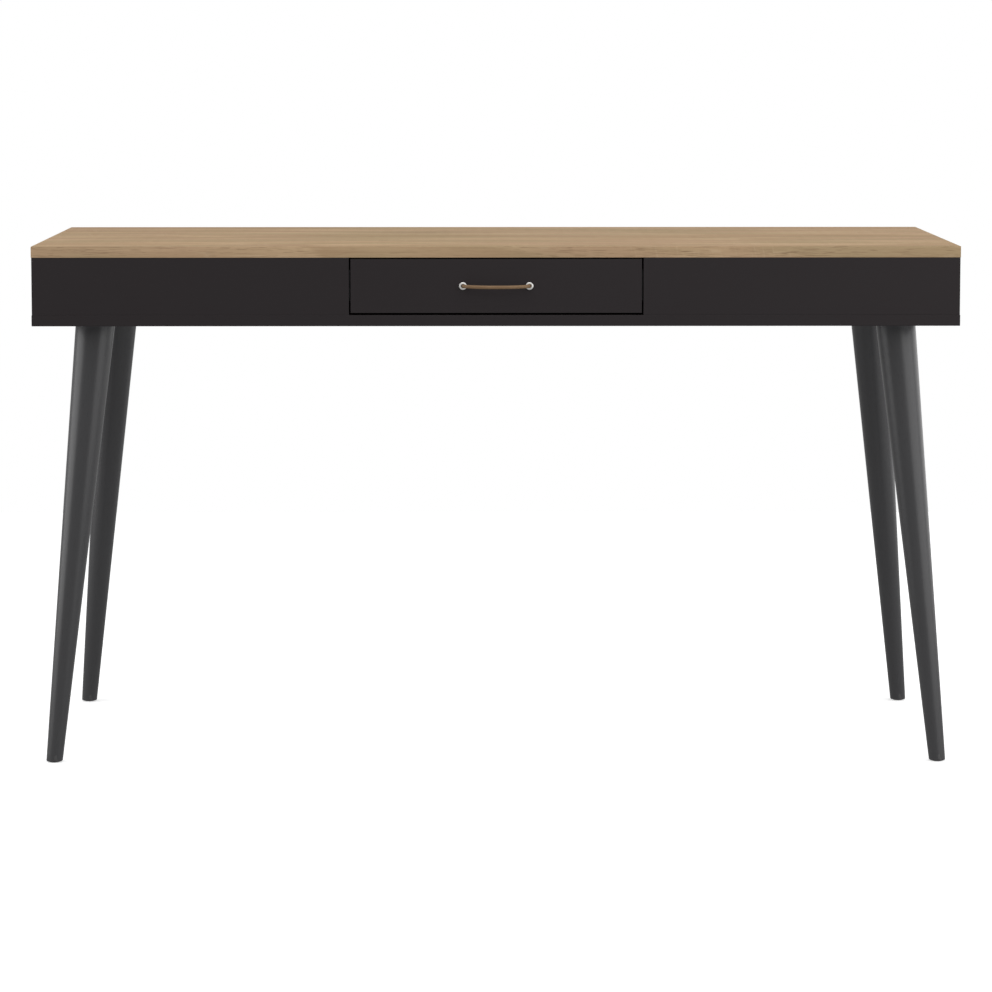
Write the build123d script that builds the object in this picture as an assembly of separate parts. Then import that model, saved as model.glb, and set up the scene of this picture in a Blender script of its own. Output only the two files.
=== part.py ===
from build123d import *
import os
from math import cos, radians, sin, tan

# Writing desk with one centre drawer and four splayed round legs, in millimetres.
# The origin is on the floor under the middle of the desk top, +X is to the user's right,
# the drawer faces -Y and +Z is up.

# Driving dimensions of the body
WIDTH = 1340.0
DEPTH = 550.0
HEIGHT = 756.0
BOARD = 16.0
BOX_HEIGHT = 83.0
SETBACK = 0.5
ARRIS = 0.8
BOARD_EASE = 0.4

# Dowels that place the boards of the box
DOWEL_RADIUS = 4.0
DOWEL_IN_SLAB = 10.0
DOWEL_IN_BOARD = 14.0
DOWEL_Y = 200.0
BACK_DOWEL_X = (150.0, 400.0)
FRONT_DOWEL_X = (300.0, 600.0)

# Cam locks and the bolts that they pull
CAM_RADIUS = 7.5
CAM_DEPTH = 12.5
CAM_FROM_EDGE = 24.0
CAM_BOLT_RADIUS = 3.5
CAM_BOLT_IN_SLAB = 10.0
CAM_BOLT_IN_LOCK = 4.0
CAM_Y = 120.0

# Drawer opening and drawer box
OPENING_WIDTH = 425.0
FRONT_SIDE_GAP = 2.5
FRONT_TOP_GAP = 2.0
FRONT_BOTTOM_GAP = 3.0
DRAWER_BOARD = 12.0
DRAWER_BOX_HEIGHT = 62.0
DRAWER_BOTTOM = 3.0
DRAWER_BOTTOM_RISE = 6.0
GROOVE_DEPTH = 5.0
GROOVE_PLAY = 0.2
DRAWER_JOINT_RISE = 19.0
FRONT_DOWEL_RADIUS = 3.0
FRONT_DOWEL_IN_FRONT = 10.0
FRONT_DOWEL_IN_SIDE = 16.0

# Telescopic drawer slides
SLIDE_LENGTH = 450.0
SLIDE_THICKNESS = 12.7
SLIDE_SETBACK = 1.5
SHEET = 1.2
CAGE_SHEET = 0.6
BALL_RADIUS = 1.6
BALL_PLAY = 0.2
BALLS_IN_A_ROW = 6
BALL_PITCH = 36.0
CAGE_LENGTH = 200.0
SLOT_LENGTH = 22.0
SLOT_HEIGHT = 8.0
SLOT_OFFSETS = (-150.0, -50.0, 70.0, 170.0)
SLIDE_SCREW_Y = (-225.0, -60.0, 160.0)

# Slide channels and ball cages: how far the web and the open side stand in from the opening's
# side, and half the height over the flanges
CABINET_CHANNEL = (0.0, 8.0, 22.5)
MIDDLE_CHANNEL = (2.7, 10.7, 17.6)
DRAWER_CHANNEL = (SLIDE_THICKNESS, 5.5, 12.7)
OUTER_CAGE = (1.65, 7.6, 19.85)
INNER_CAGE = (4.4, 9.9, 14.85)

# Ball rows: how far in from the opening's side, and above and below the slide's middle
OUTER_BALLS = (5.4, 19.45)
INNER_BALLS = (7.9, 14.55)

# Legs and their fittings
LEG_TOP_X = 586.0
LEG_TOP_Y = 190.0
LEG_SPLAY = 61.0
LEG_TOP_RADIUS = 29.0
LEG_FOOT_RADIUS = 12.0
FOOT_ROUNDING = 2.0
LEG_SPARE = 12.0
PLATE = 80.0
PLATE_THICKNESS = 3.0
PLATE_CORNER = 8.0
PLATE_SCREW_OFFSET = 31.0
STUD_RADIUS = 4.0
STUD_IN_LEG = 40.0
STUD_ABOVE_LEG = 12.0
GLIDE_RADIUS = 8.0
GLIDE_THICKNESS = 3.0
GLIDE_STANDS_OUT = 1.0
GLIDE_ROUNDING = 0.5

# Screw sizes: shank and flat head radii of the 3.5 mm and the 4 mm screws, and their lengths
SMALL_SHANK = 1.75
SMALL_HEAD = 2.9
BIG_SHANK = 2.0
BIG_HEAD = 3.6
RECESS_WIDTH = 0.7
RECESS_DEPTH = 0.5
PLATE_SCREW = 15.0
CABINET_SCREW = 13.0
DRAWER_SCREW = 11.0
BACK_SCREW = 45.0

# Cord handle and its eyelets
HANDLE_SPACING = 96.0
CORD_DIAMETER = 5.0
EYELET_RADIUS = 5.6
EYELET_FLANGE = 1.6
EYELET_ROUNDING = 1.0
EYELET_BORE = 2.6
EYELET_BARREL = 3.4
WASHER_RADIUS = 7.0
WASHER_THICKNESS = 1.0
KNOT_RADIUS = 7.5

# The bow of the handle, turn by turn from the right eyelet to its middle: how far the cord has
# swung from straight out towards the left, the run that follows, and how far that run sags
BEND_START_Y = -278.0
BOW = ((24.0, 8.0, 0.0), (50.0, 9.0, 0.1), (70.0, 11.0, 0.2), (82.0, 14.0, 0.2))

# How far a cutting shape goes past the face that it opens
CLEAR = 5.0

# Levels, from the floor up
UNDERSIDE = HEIGHT - 2 * BOARD - BOX_HEIGHT
BOX_FLOOR = UNDERSIDE + BOARD
BOX_CEILING = BOX_FLOOR + BOX_HEIGHT
LEG_TOP = UNDERSIDE - PLATE_THICKNESS

# Faces of the box, to the right and to the back of the middle
BOX_X = WIDTH / 2 - SETBACK
BOX_Y = DEPTH / 2 - SETBACK
SIDE_INNER_X = BOX_X - BOARD
OPENING_X = OPENING_WIDTH / 2
INNER_Y = BOX_Y - BOARD

# Places in the drawer and its slides
FRONT_BACK_Y = -INNER_Y
SLIDE_Z = (BOX_FLOOR + BOX_CEILING) / 2 + 0.5
DRAWER_X = OPENING_X - SLIDE_THICKNESS
DRAWER_END_Y = FRONT_BACK_Y + SLIDE_LENGTH
DRAWER_LOW_Z = SLIDE_Z - DRAWER_BOX_HEIGHT / 2
DRAWER_TOP_Z = SLIDE_Z + DRAWER_BOX_HEIGHT / 2
SLIDE_FRONT_Y = FRONT_BACK_Y + SLIDE_SETBACK
SLIDE_END_Y = SLIDE_FRONT_Y + SLIDE_LENGTH
CAGE_MIDDLE_Y = (SLIDE_FRONT_Y + SLIDE_END_Y) / 2

parts = {}


def block(x_span, y_span, z_span):
    spans = (x_span, y_span, z_span)
    middle = [(low + high) / 2 for low, high in spans]
    return Pos(*middle) * Box(*[high - low for low, high in spans])


def eased_block(x_span, y_span, z_span, radius=BOARD_EASE):
    return fillet(block(x_span, y_span, z_span).edges(), radius)


def rod(start, end, radius):
    axis = Vector(end) - Vector(start)
    from_start = (Align.CENTER, Align.CENTER, Align.MIN)
    return Plane(origin=start, z_dir=axis) * Cylinder(radius, axis.length, align=from_start)


def screw_hole(head, direction, length, shank_radius, head_radius):
    """The outline of a flat-headed screw, its head's centre at head, pointing along direction."""
    head_height = head_radius - shank_radius
    from_head = (Align.CENTER, Align.CENTER, Align.MIN)
    outline = Cone(head_radius, shank_radius, head_height, align=from_head)
    outline += Pos(0, 0, head_height) * Cylinder(shank_radius, length - head_height, align=from_head)
    return Plane(origin=head, z_dir=direction) * outline


def screw(head, direction, hole, head_radius):
    """The screw that fills its hole, less the cross recess in its head."""
    recess = Box(head_radius * 1.1, RECESS_WIDTH, 2 * RECESS_DEPTH)
    recess += Box(RECESS_WIDTH, head_radius * 1.1, 2 * RECESS_DEPTH)
    return hole - Plane(origin=head, z_dir=direction) * recess


def mirrored(solid):
    return mirror(solid, about=Plane.YZ)


def both_sides(solids):
    return Compound(solids + [mirrored(solid) for solid in solids])


def without(solid, cutters):
    for cutter in cutters:
        solid = solid - cutter
    return solid


# Dowels that place every upright board between the two slabs
upright_x = (SIDE_INNER_X + BOARD / 2, OPENING_X + BOARD / 2)
dowel_places = [(side * x, y) for side in (-1, 1) for x in upright_x for y in (-DOWEL_Y, DOWEL_Y)]
dowel_places += [(side * x, INNER_Y + BOARD / 2) for side in (-1, 1) for x in BACK_DOWEL_X]
dowel_places += [(side * x, -INNER_Y - BOARD / 2) for side in (-1, 1) for x in FRONT_DOWEL_X]
dowels = []
for x, y in dowel_places:
    for slab_z, into_box in ((BOX_FLOOR, 1), (BOX_CEILING, -1)):
        slab_end = (x, y, slab_z - into_box * DOWEL_IN_SLAB)
        board_end = (x, y, slab_z + into_box * DOWEL_IN_BOARD)
        dowels.append(rod(slab_end, board_end, DOWEL_RADIUS))
parts["dowels"] = Compound(dowels)

# Cam locks in the sides and dividers, with the bolts that they pull down from the slabs
cam_locks = []
cam_bolts = []
for side in (-1, 1):
    for face_x, inward in ((SIDE_INNER_X, 1), (OPENING_X + BOARD, -1)):
        for y in (-CAM_Y, CAM_Y):
            for slab_z, into_box in ((BOX_FLOOR, 1), (BOX_CEILING, -1)):
                cam_z = slab_z + into_box * CAM_FROM_EDGE
                start = (side * face_x, y, cam_z)
                end = (side * (face_x + inward * CAM_DEPTH), y, cam_z)
                cam_locks.append(rod(start, end, CAM_RADIUS))
                bolt_x = side * (face_x + inward * BOARD / 2)
                bolt_top = (bolt_x, y, slab_z - into_box * CAM_BOLT_IN_SLAB)
                bolt_end = (bolt_x, y, cam_z - into_box * (CAM_RADIUS - CAM_BOLT_IN_LOCK))
                cam_bolts.append(rod(bolt_top, bolt_end, CAM_BOLT_RADIUS))
parts["cam_locks"] = Compound([lock - bolt for lock, bolt in zip(cam_locks, cam_bolts)])
parts["cam_bolts"] = Compound(cam_bolts)
joinery = dowels + cam_locks + cam_bolts

# Legs: turned cones that lean outwards the same amount to the side and to the front or back.
# Each is made a little long at both ends, then cut level.
leg_corners = {
    "front_left": (-1, -1),
    "front_right": (1, -1),
    "back_left": (-1, 1),
    "back_right": (1, 1),
}
studs = []
plate_screws = []
plate_holes = []
for corner, (side, depth) in leg_corners.items():
    top = Vector(side * LEG_TOP_X, depth * LEG_TOP_Y, UNDERSIDE)
    foot = Vector(side * (LEG_TOP_X + LEG_SPLAY), depth * (LEG_TOP_Y + LEG_SPLAY), 0)
    axis = (top - foot).normalized()
    length = (top - foot).length
    growth = LEG_SPARE * (LEG_TOP_RADIUS - LEG_FOOT_RADIUS) / length
    cone = Cone(LEG_FOOT_RADIUS - growth, LEG_TOP_RADIUS + growth, length + 2 * LEG_SPARE)
    leg = Plane(origin=(top + foot) * 0.5, z_dir=axis) * cone
    around_x = sorted((side * (LEG_TOP_X - PLATE), side * (LEG_TOP_X + LEG_SPLAY + PLATE)))
    around_y = sorted((depth * (LEG_TOP_Y - PLATE), depth * (LEG_TOP_Y + LEG_SPLAY + PLATE)))
    leg = leg & block(around_x, around_y, (GLIDE_STANDS_OUT, LEG_TOP))
    foot_edge = leg.edges().sort_by(Axis.Z)[0]
    leg = fillet(foot_edge, FOOT_ROUNDING)

    glide = rod((foot.X, foot.Y, 0), (foot.X, foot.Y, GLIDE_THICKNESS), GLIDE_RADIUS)
    parts["foot_glide_" + corner] = fillet(glide.edges().sort_by(Axis.Z)[0], GLIDE_ROUNDING)

    meeting = top - axis * (PLATE_THICKNESS / axis.Z)
    stud_start = meeting - axis * STUD_IN_LEG
    stud_end = meeting + axis * STUD_ABOVE_LEG
    stud = rod(stud_start, stud_end, STUD_RADIUS)
    studs.append(stud)
    parts["leg_" + corner] = without(leg, [glide, stud])

    plate_x = (meeting.X - PLATE / 2, meeting.X + PLATE / 2)
    plate_y = (meeting.Y - PLATE / 2, meeting.Y + PLATE / 2)
    plate = block(plate_x, plate_y, (LEG_TOP, UNDERSIDE))
    plate = fillet(plate.edges().filter_by(Axis.Z), PLATE_CORNER)
    own_holes = []
    for dx in (-PLATE_SCREW_OFFSET, PLATE_SCREW_OFFSET):
        for dy in (-PLATE_SCREW_OFFSET, PLATE_SCREW_OFFSET):
            head = (meeting.X + dx, meeting.Y + dy, LEG_TOP)
            hole = screw_hole(head, (0, 0, 1), PLATE_SCREW, SMALL_SHANK, BIG_HEAD)
            own_holes.append(hole)
            plate_screws.append(screw(head, (0, 0, 1), hole, BIG_HEAD))
    plate_holes += own_holes
    parts["leg_plate_" + corner] = without(plate, own_holes + [stud])
parts["leg_studs"] = Compound(studs)
parts["leg_plate_screws"] = Compound(plate_screws)

# The two slabs: the desk top and the panel that closes the box from below
slab_x = (-WIDTH / 2, WIDTH / 2)
slab_y = (-DEPTH / 2, DEPTH / 2)
desk_top = eased_block(slab_x, slab_y, (BOX_CEILING, HEIGHT), ARRIS)
parts["desk_top"] = without(desk_top, joinery)
bottom_panel = eased_block(slab_x, slab_y, (UNDERSIDE, BOX_FLOOR), ARRIS)
parts["bottom_panel"] = without(bottom_panel, joinery + studs + plate_holes)

# Upright boards of the box, with the slide screws that enter the dividers
box_z = (BOX_FLOOR, BOX_CEILING)
cabinet_holes = []
cabinet_screws = []
for y in SLIDE_SCREW_Y:
    head = (OPENING_X - SHEET, y, SLIDE_Z)
    hole = screw_hole(head, (1, 0, 0), CABINET_SCREW, SMALL_SHANK, SMALL_HEAD)
    cabinet_holes.append(hole)
    cabinet_screws.append(screw(head, (1, 0, 0), hole, SMALL_HEAD))
parts["cabinet_slide_screws"] = both_sides(cabinet_screws)

side_panel = eased_block((SIDE_INNER_X, BOX_X), (-INNER_Y, BOX_Y), box_z)
divider = block((OPENING_X, OPENING_X + BOARD), (-INNER_Y, INNER_Y), box_z)
front_panel = eased_block((OPENING_X, BOX_X), (-BOX_Y, -INNER_Y), box_z)
parts["side_panel_right"] = without(side_panel, joinery)
parts["side_panel_left"] = without(mirrored(side_panel), joinery)
divider = without(divider, cabinet_holes)
parts["divider_right"] = without(divider, joinery)
parts["divider_left"] = without(mirrored(divider), joinery)
parts["front_panel_right"] = without(front_panel, joinery)
parts["front_panel_left"] = without(mirrored(front_panel), joinery)
back_panel = block((-SIDE_INNER_X, SIDE_INNER_X), (INNER_Y, BOX_Y), box_z)
parts["back_panel"] = without(back_panel, joinery)


# Drawer slides: three nested steel channels on each side, with two ball cages between them
def channel(profile, sheet, y_span):
    """A channel on its side, its web and flanges one sheet thick and its web edges rounded."""
    web, open_side, half_height = profile
    outward = 1 if open_side > web else -1
    whole_x = sorted((OPENING_X - web, OPENING_X - open_side))
    hollow_x = sorted((OPENING_X - web - outward * sheet, OPENING_X - open_side - outward * CLEAR))
    whole = block(whole_x, y_span, (SLIDE_Z - half_height, SLIDE_Z + half_height))
    inner = half_height - sheet
    past_ends = (y_span[0] - CLEAR, y_span[1] + CLEAR)
    hollow = block(hollow_x, past_ends, (SLIDE_Z - inner, SLIDE_Z + inner))
    web_edges = whole.edges().filter_by(Axis.Y).group_by(Axis.X)[-1 if outward > 0 else 0]
    return fillet(web_edges, sheet * 0.8) - hollow


def ball_row_places(row):
    inward, rise = row
    first = CAGE_MIDDLE_Y - BALL_PITCH * (BALLS_IN_A_ROW - 1) / 2
    along = [first + BALL_PITCH * number for number in range(BALLS_IN_A_ROW)]
    return [(OPENING_X - inward, y, SLIDE_Z + side * rise) for y in along for side in (-1, 1)]


slide_y = (SLIDE_FRONT_Y, SLIDE_END_Y)
cage_y = (CAGE_MIDDLE_Y - CAGE_LENGTH / 2, CAGE_MIDDLE_Y + CAGE_LENGTH / 2)
cabinet_member = channel(CABINET_CHANNEL, SHEET, slide_y)
middle_member = channel(MIDDLE_CHANNEL, SHEET, slide_y)
drawer_member = channel(DRAWER_CHANNEL, SHEET, slide_y)
outer_cage = channel(OUTER_CAGE, CAGE_SHEET, cage_y)
inner_cage = channel(INNER_CAGE, CAGE_SHEET, cage_y)

slot_x = OPENING_X - MIDDLE_CHANNEL[0] - SHEET / 2
slot = Box(3 * SHEET, SLOT_LENGTH, SLOT_HEIGHT)
slots = [Pos(slot_x, CAGE_MIDDLE_Y + offset, SLIDE_Z) * slot for offset in SLOT_OFFSETS]
middle_member = without(middle_member, slots)

drawer_holes = []
drawer_screws = []
for y in SLIDE_SCREW_Y:
    head = (DRAWER_X + SHEET, y, SLIDE_Z)
    hole = screw_hole(head, (-1, 0, 0), DRAWER_SCREW, SMALL_SHANK, SMALL_HEAD)
    drawer_holes.append(hole)
    drawer_screws.append(screw(head, (-1, 0, 0), hole, SMALL_HEAD))
parts["drawer_slide_screws"] = both_sides(drawer_screws)
cabinet_member = without(cabinet_member, cabinet_holes)
drawer_member = without(drawer_member, drawer_holes)

outer_places = ball_row_places(OUTER_BALLS)
inner_places = ball_row_places(INNER_BALLS)
for cage, balls in (("outer", outer_places), ("inner", inner_places)):
    right_balls = [Pos(*place) * Sphere(BALL_RADIUS) for place in balls]
    parts["slide_balls_" + cage] = both_sides(right_balls)
ball_window = Cylinder(BALL_RADIUS + BALL_PLAY, 2 * CAGE_SHEET)
outer_cage = without(outer_cage, [Pos(*place) * ball_window for place in outer_places])
inner_cage = without(inner_cage, [Pos(*place) * ball_window for place in inner_places])

for name, member in (
    ("slide_cabinet_member", cabinet_member),
    ("slide_middle_member", middle_member),
    ("slide_drawer_member", drawer_member),
    ("ball_cage_outer", outer_cage),
    ("ball_cage_inner", inner_cage),
):
    parts[name + "_right"] = member
    parts[name + "_left"] = mirrored(member)

# Drawer box: two sides, a back and a thin bottom held in grooves all round
drawer_z = (DRAWER_LOW_Z, DRAWER_TOP_Z)
bottom_z = DRAWER_LOW_Z + DRAWER_BOTTOM_RISE
inner_x = DRAWER_X - DRAWER_BOARD
bottom_reach = GROOVE_DEPTH - GROOVE_PLAY
bottom_x = (-inner_x - bottom_reach, inner_x + bottom_reach)
bottom_y = (FRONT_BACK_Y - bottom_reach, DRAWER_END_Y - DRAWER_BOARD + bottom_reach)
parts["drawer_bottom"] = block(bottom_x, bottom_y, (bottom_z, bottom_z + DRAWER_BOTTOM))
groove = block(
    (-inner_x - GROOVE_DEPTH, inner_x + GROOVE_DEPTH),
    (FRONT_BACK_Y - GROOVE_DEPTH, DRAWER_END_Y - DRAWER_BOARD + GROOVE_DEPTH),
    (bottom_z, bottom_z + DRAWER_BOTTOM + GROOVE_PLAY),
)

back_holes = []
back_screws = []
front_dowels = []
for z in (SLIDE_Z - DRAWER_JOINT_RISE, SLIDE_Z + DRAWER_JOINT_RISE):
    head = (DRAWER_X, DRAWER_END_Y - DRAWER_BOARD / 2, z)
    hole = screw_hole(head, (-1, 0, 0), BACK_SCREW, BIG_SHANK, BIG_HEAD)
    back_holes.append(hole)
    back_screws.append(screw(head, (-1, 0, 0), hole, BIG_HEAD))
    dowel_x = DRAWER_X - DRAWER_BOARD / 2
    dowel_start = (dowel_x, FRONT_BACK_Y - FRONT_DOWEL_IN_FRONT, z)
    dowel_end = (dowel_x, FRONT_BACK_Y + FRONT_DOWEL_IN_SIDE, z)
    front_dowels.append(rod(dowel_start, dowel_end, FRONT_DOWEL_RADIUS))
parts["drawer_back_screws"] = both_sides(back_screws)
parts["drawer_front_dowels"] = both_sides(front_dowels)

drawer_side = eased_block((inner_x, DRAWER_X), (FRONT_BACK_Y, DRAWER_END_Y), drawer_z)
drawer_side = without(drawer_side, [groove] + back_holes + drawer_holes + front_dowels)
parts["drawer_side_right"] = drawer_side
parts["drawer_side_left"] = mirrored(drawer_side)
back_y = (DRAWER_END_Y - DRAWER_BOARD, DRAWER_END_Y)
drawer_back = block((-inner_x, inner_x), back_y, drawer_z)
parts["drawer_back"] = without(drawer_back, [groove, both_sides(back_holes)])

# Cord handle: the cord comes straight out of one eyelet, bows away from the front and goes into
# the other one.
knot_y = FRONT_BACK_Y + WASHER_THICKNESS + KNOT_RADIUS
handle_x = HANDLE_SPACING / 2
right_half = [(handle_x, knot_y, SLIDE_Z), (handle_x, BEND_START_Y, SLIDE_Z)]
for swing, run, sag in BOW:
    x, y, z = right_half[-1]
    right_half.append((x - run * sin(radians(swing)), y - run * cos(radians(swing)), z - sag))
left_half = [(-x, y, z) for x, y, z in reversed(right_half)]
route = [Vector(*point) for point in right_half + left_half]

radii = []
for before, corner, after in zip(route, route[1:], route[2:]):
    turn = (corner - before).get_angle(after - corner)
    shorter = min((corner - before).length, (after - corner).length)
    radii.append(0.45 * shorter / tan(radians(turn / 2)))
print("handle cord points", [tuple(round(value, 1) for value in point) for point in route])
print("handle cord radii", [round(radius, 1) for radius in radii])
path = FilletPolyline(route, radius=radii)
section = Plane(origin=path @ 0, z_dir=path % 0) * Circle(CORD_DIAMETER / 2)
cord = sweep(section, path=path)
volume_ratio = cord.volume / (section.area * path.length)
print("handle cord length", round(path.length, 1), "volume ratio", round(volume_ratio, 4))
parts["handle_cord"] = cord

# Eyelets, their washers behind the front, and the stopper knots inside the drawer
front_x = (-OPENING_X + FRONT_SIDE_GAP, OPENING_X - FRONT_SIDE_GAP)
front_z = (BOX_FLOOR + FRONT_BOTTOM_GAP, BOX_CEILING - FRONT_TOP_GAP)
drawer_front = eased_block(front_x, (-BOX_Y, FRONT_BACK_Y), front_z)
barrel_holes = []
for side_name, x in (("right", handle_x), ("left", -handle_x)):
    barrel_start = (x, -BOX_Y, SLIDE_Z)
    barrel_end = (x, FRONT_BACK_Y + WASHER_THICKNESS, SLIDE_Z)
    flange = rod((x, -BOX_Y - EYELET_FLANGE, SLIDE_Z), barrel_start, EYELET_RADIUS)
    flange = fillet(flange.edges().sort_by(Axis.Y)[0], EYELET_ROUNDING)
    barrel = rod(barrel_start, barrel_end, EYELET_BARREL)
    barrel_holes.append(barrel)
    bore = rod((x, -BOX_Y - CLEAR, SLIDE_Z), (x, FRONT_BACK_Y + CLEAR, SLIDE_Z), EYELET_BORE)
    parts["handle_eyelet_" + side_name] = flange + barrel - bore
    washer = rod((x, FRONT_BACK_Y, SLIDE_Z), barrel_end, WASHER_RADIUS)
    parts["eyelet_washer_" + side_name] = washer - barrel
    knot = Pos(x, knot_y, SLIDE_Z) * Sphere(KNOT_RADIUS)
    parts["handle_knot_" + side_name] = knot - cord
parts["drawer_front"] = without(drawer_front, [groove, both_sides(front_dowels)] + barrel_holes)

os.makedirs("parts", exist_ok=True)
for name, shape in parts.items():
    shape.label = name
    export_step(shape, "parts/" + name + ".step")
print(len(parts), "nodes")
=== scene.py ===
import math

import bmesh
import bpy
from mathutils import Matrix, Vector


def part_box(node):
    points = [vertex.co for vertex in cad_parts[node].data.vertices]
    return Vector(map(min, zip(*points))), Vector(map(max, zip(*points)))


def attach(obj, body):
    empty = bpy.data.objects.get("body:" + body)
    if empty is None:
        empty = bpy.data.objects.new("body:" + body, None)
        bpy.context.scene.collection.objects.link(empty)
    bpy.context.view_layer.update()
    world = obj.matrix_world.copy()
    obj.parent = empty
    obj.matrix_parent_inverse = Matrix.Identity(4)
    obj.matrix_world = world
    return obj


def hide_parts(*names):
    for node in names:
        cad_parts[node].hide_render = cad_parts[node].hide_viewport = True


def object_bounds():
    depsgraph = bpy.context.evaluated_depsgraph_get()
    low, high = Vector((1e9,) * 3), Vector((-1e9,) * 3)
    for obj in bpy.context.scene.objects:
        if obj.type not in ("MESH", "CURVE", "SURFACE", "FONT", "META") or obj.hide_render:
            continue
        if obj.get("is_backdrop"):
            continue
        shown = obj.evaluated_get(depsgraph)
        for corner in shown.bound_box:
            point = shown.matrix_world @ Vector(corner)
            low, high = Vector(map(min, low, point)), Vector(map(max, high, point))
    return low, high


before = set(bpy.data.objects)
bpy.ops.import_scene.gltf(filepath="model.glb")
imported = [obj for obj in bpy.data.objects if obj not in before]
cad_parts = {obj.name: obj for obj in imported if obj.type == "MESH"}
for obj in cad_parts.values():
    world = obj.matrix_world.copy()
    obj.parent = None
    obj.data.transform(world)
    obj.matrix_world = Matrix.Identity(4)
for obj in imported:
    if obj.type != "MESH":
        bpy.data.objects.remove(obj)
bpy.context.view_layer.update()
scene = bpy.context.scene


# ---------------------------------------------------------------------------------------------
# The camera: a long lens on a stand, just left of the desk's middle and 0.3 m above its top, so
# that the top shows as a narrow strip. A small shift of the lens keeps the legs upright.
viewfinder = bpy.data.cameras.new("studio_camera")
viewfinder.sensor_width = 36.0
viewfinder.lens = 134.6
viewfinder.shift_y = -0.0968
viewfinder.clip_end = 100.0
camera = bpy.data.objects.new("studio_camera", viewfinder)
camera.location = (-0.0382, -5.6112, 1.0570)
tilt_down = 0.0977
lean = 0.0001
turn_right = 0.0071
camera.rotation_euler = (math.pi / 2 - tilt_down, lean, -turn_right)
scene.collection.objects.link(camera)
scene.camera = camera


# ---------------------------------------------------------------------------------------------
# The bottom panel of the box and its uprights: two sides, two dividers, the back and the two
# fixed front panels. All are 16 mm particle board in a matt charcoal foil, joined edge to face.
class Wire:
    """A value on its way through a node tree. Arithmetic on it adds Math nodes."""

    def __init__(self, bench, socket):
        self.bench = bench
        self.socket = socket

    def __getitem__(self, name):
        return Wire(self.bench, self.socket.node.outputs[name])

    def worked(self, operation, *values):
        settings = {"operation": operation}
        return self.bench.node("ShaderNodeMath", settings, dict(enumerate(values)))

    def __add__(self, other):
        return self.worked("ADD", self, other)

    def __radd__(self, other):
        return self.worked("ADD", other, self)

    def __sub__(self, other):
        return self.worked("SUBTRACT", self, other)

    def __rsub__(self, other):
        return self.worked("SUBTRACT", other, self)

    def __mul__(self, other):
        return self.worked("MULTIPLY", self, other)

    def __rmul__(self, other):
        return self.worked("MULTIPLY", other, self)

    def __truediv__(self, other):
        return self.worked("DIVIDE", self, other)

    def __rtruediv__(self, other):
        return self.worked("DIVIDE", other, self)


class Bench:
    """A node tree being wired up, one node at a time."""

    def __init__(self, tree):
        self.tree = tree

    def node(self, kind, settings=None, values=None):
        made = self.tree.nodes.new(kind)
        for name, setting in (settings or {}).items():
            if name == "stops":
                ramp = made.color_ramp.elements
                while len(ramp) < len(setting):
                    ramp.new(1.0)
                for element, (place, shade) in zip(ramp, setting):
                    element.position = place
                    element.color = shade
            else:
                setattr(made, name, setting)
        for key, value in (values or {}).items():
            if isinstance(key, int):
                socket = made.inputs[key]
            else:
                socket = next(s for s in made.inputs if s.name == key and s.enabled)
            if isinstance(value, Wire):
                self.tree.links.new(value.socket, socket)
            else:
                socket.default_value = value
        outputs = [s for s in made.outputs if s.enabled]
        return Wire(self, outputs[0] if outputs else None)


class Finish(Bench):
    """A surface finish: a material whose one shader takes fixed values and wires by name."""

    def __init__(self, name, fixed):
        self.material = bpy.data.materials.new(name)
        self.material.use_nodes = True
        super().__init__(self.material.node_tree)
        self.shader = self.tree.nodes["Principled BSDF"]
        self.place = self.node("ShaderNodeTexCoord")["Object"]
        for socket, value in fixed.items():
            self.shader.inputs[socket].default_value = value

    def drive(self, socket, wire):
        self.tree.links.new(wire.socket, self.shader.inputs[socket])


def cloud(finish, place, stretch, scale, detail=3.0, grit=0.55):
    """Soft variation from 0 to 1, drawn out along the axes whose stretch is small."""
    spread = finish.node("ShaderNodeMapping", {}, {"Vector": place, "Scale": stretch})
    values = {"Vector": spread, "Scale": scale, "Detail": detail, "Roughness": grit}
    return finish.node("ShaderNodeTexNoise", {}, values)


def between(finish, wire, low, high):
    """0 where the wire is at low or under, 1 at high or over, and smooth between them."""
    values = {"Value": wire, "From Min": low, "From Max": high}
    return finish.node("ShaderNodeMapRange", {"interpolation_type": "SMOOTHSTEP"}, values)


def blended(finish, share, shade_a, shade_b):
    values = {"Factor": share, "A": shade_a, "B": shade_b}
    return finish.node("ShaderNodeMix", {"data_type": "RGBA"}, values)


def raised(finish, height, strength, distance):
    values = {"Height": height, "Strength": strength, "Distance": distance}
    return finish.node("ShaderNodeBump", {}, values)


def dress(finish, names):
    for name in names:
        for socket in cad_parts[name].material_slots:
            socket.material = finish.material


def charcoal_foil():
    foil = Finish("charcoal_foil", {"Specular IOR Level": 0.18})
    patches = cloud(foil, foil.place, (1, 1, 1), 4.5)
    tooth = cloud(foil, foil.place, (1, 1, 1), 1500.0, 2.0)
    print_grain = cloud(foil, foil.place, (0.03, 1, 1), 420.0, 2.0)
    shade = blended(foil, patches, (0.0226, 0.0182, 0.0195, 1), (0.0254, 0.0208, 0.0222, 1))
    shade = blended(foil, print_grain * 0.35, shade, (0.0260, 0.0222, 0.0234, 1))
    foil.drive("Base Color", shade)
    foil.drive("Roughness", 0.46 + patches * 0.12 + tooth * 0.08)
    foil.drive("Normal", raised(foil, tooth * 0.7 + print_grain * 0.3, 0.25, 0.0002))
    return foil


charcoal = charcoal_foil()
box_boards = [
    "bottom_panel",
    "side_panel_left",
    "side_panel_right",
    "divider_left",
    "divider_right",
    "back_panel",
    "front_panel_left",
    "front_panel_right",
]
dress(charcoal, box_boards)


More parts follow.
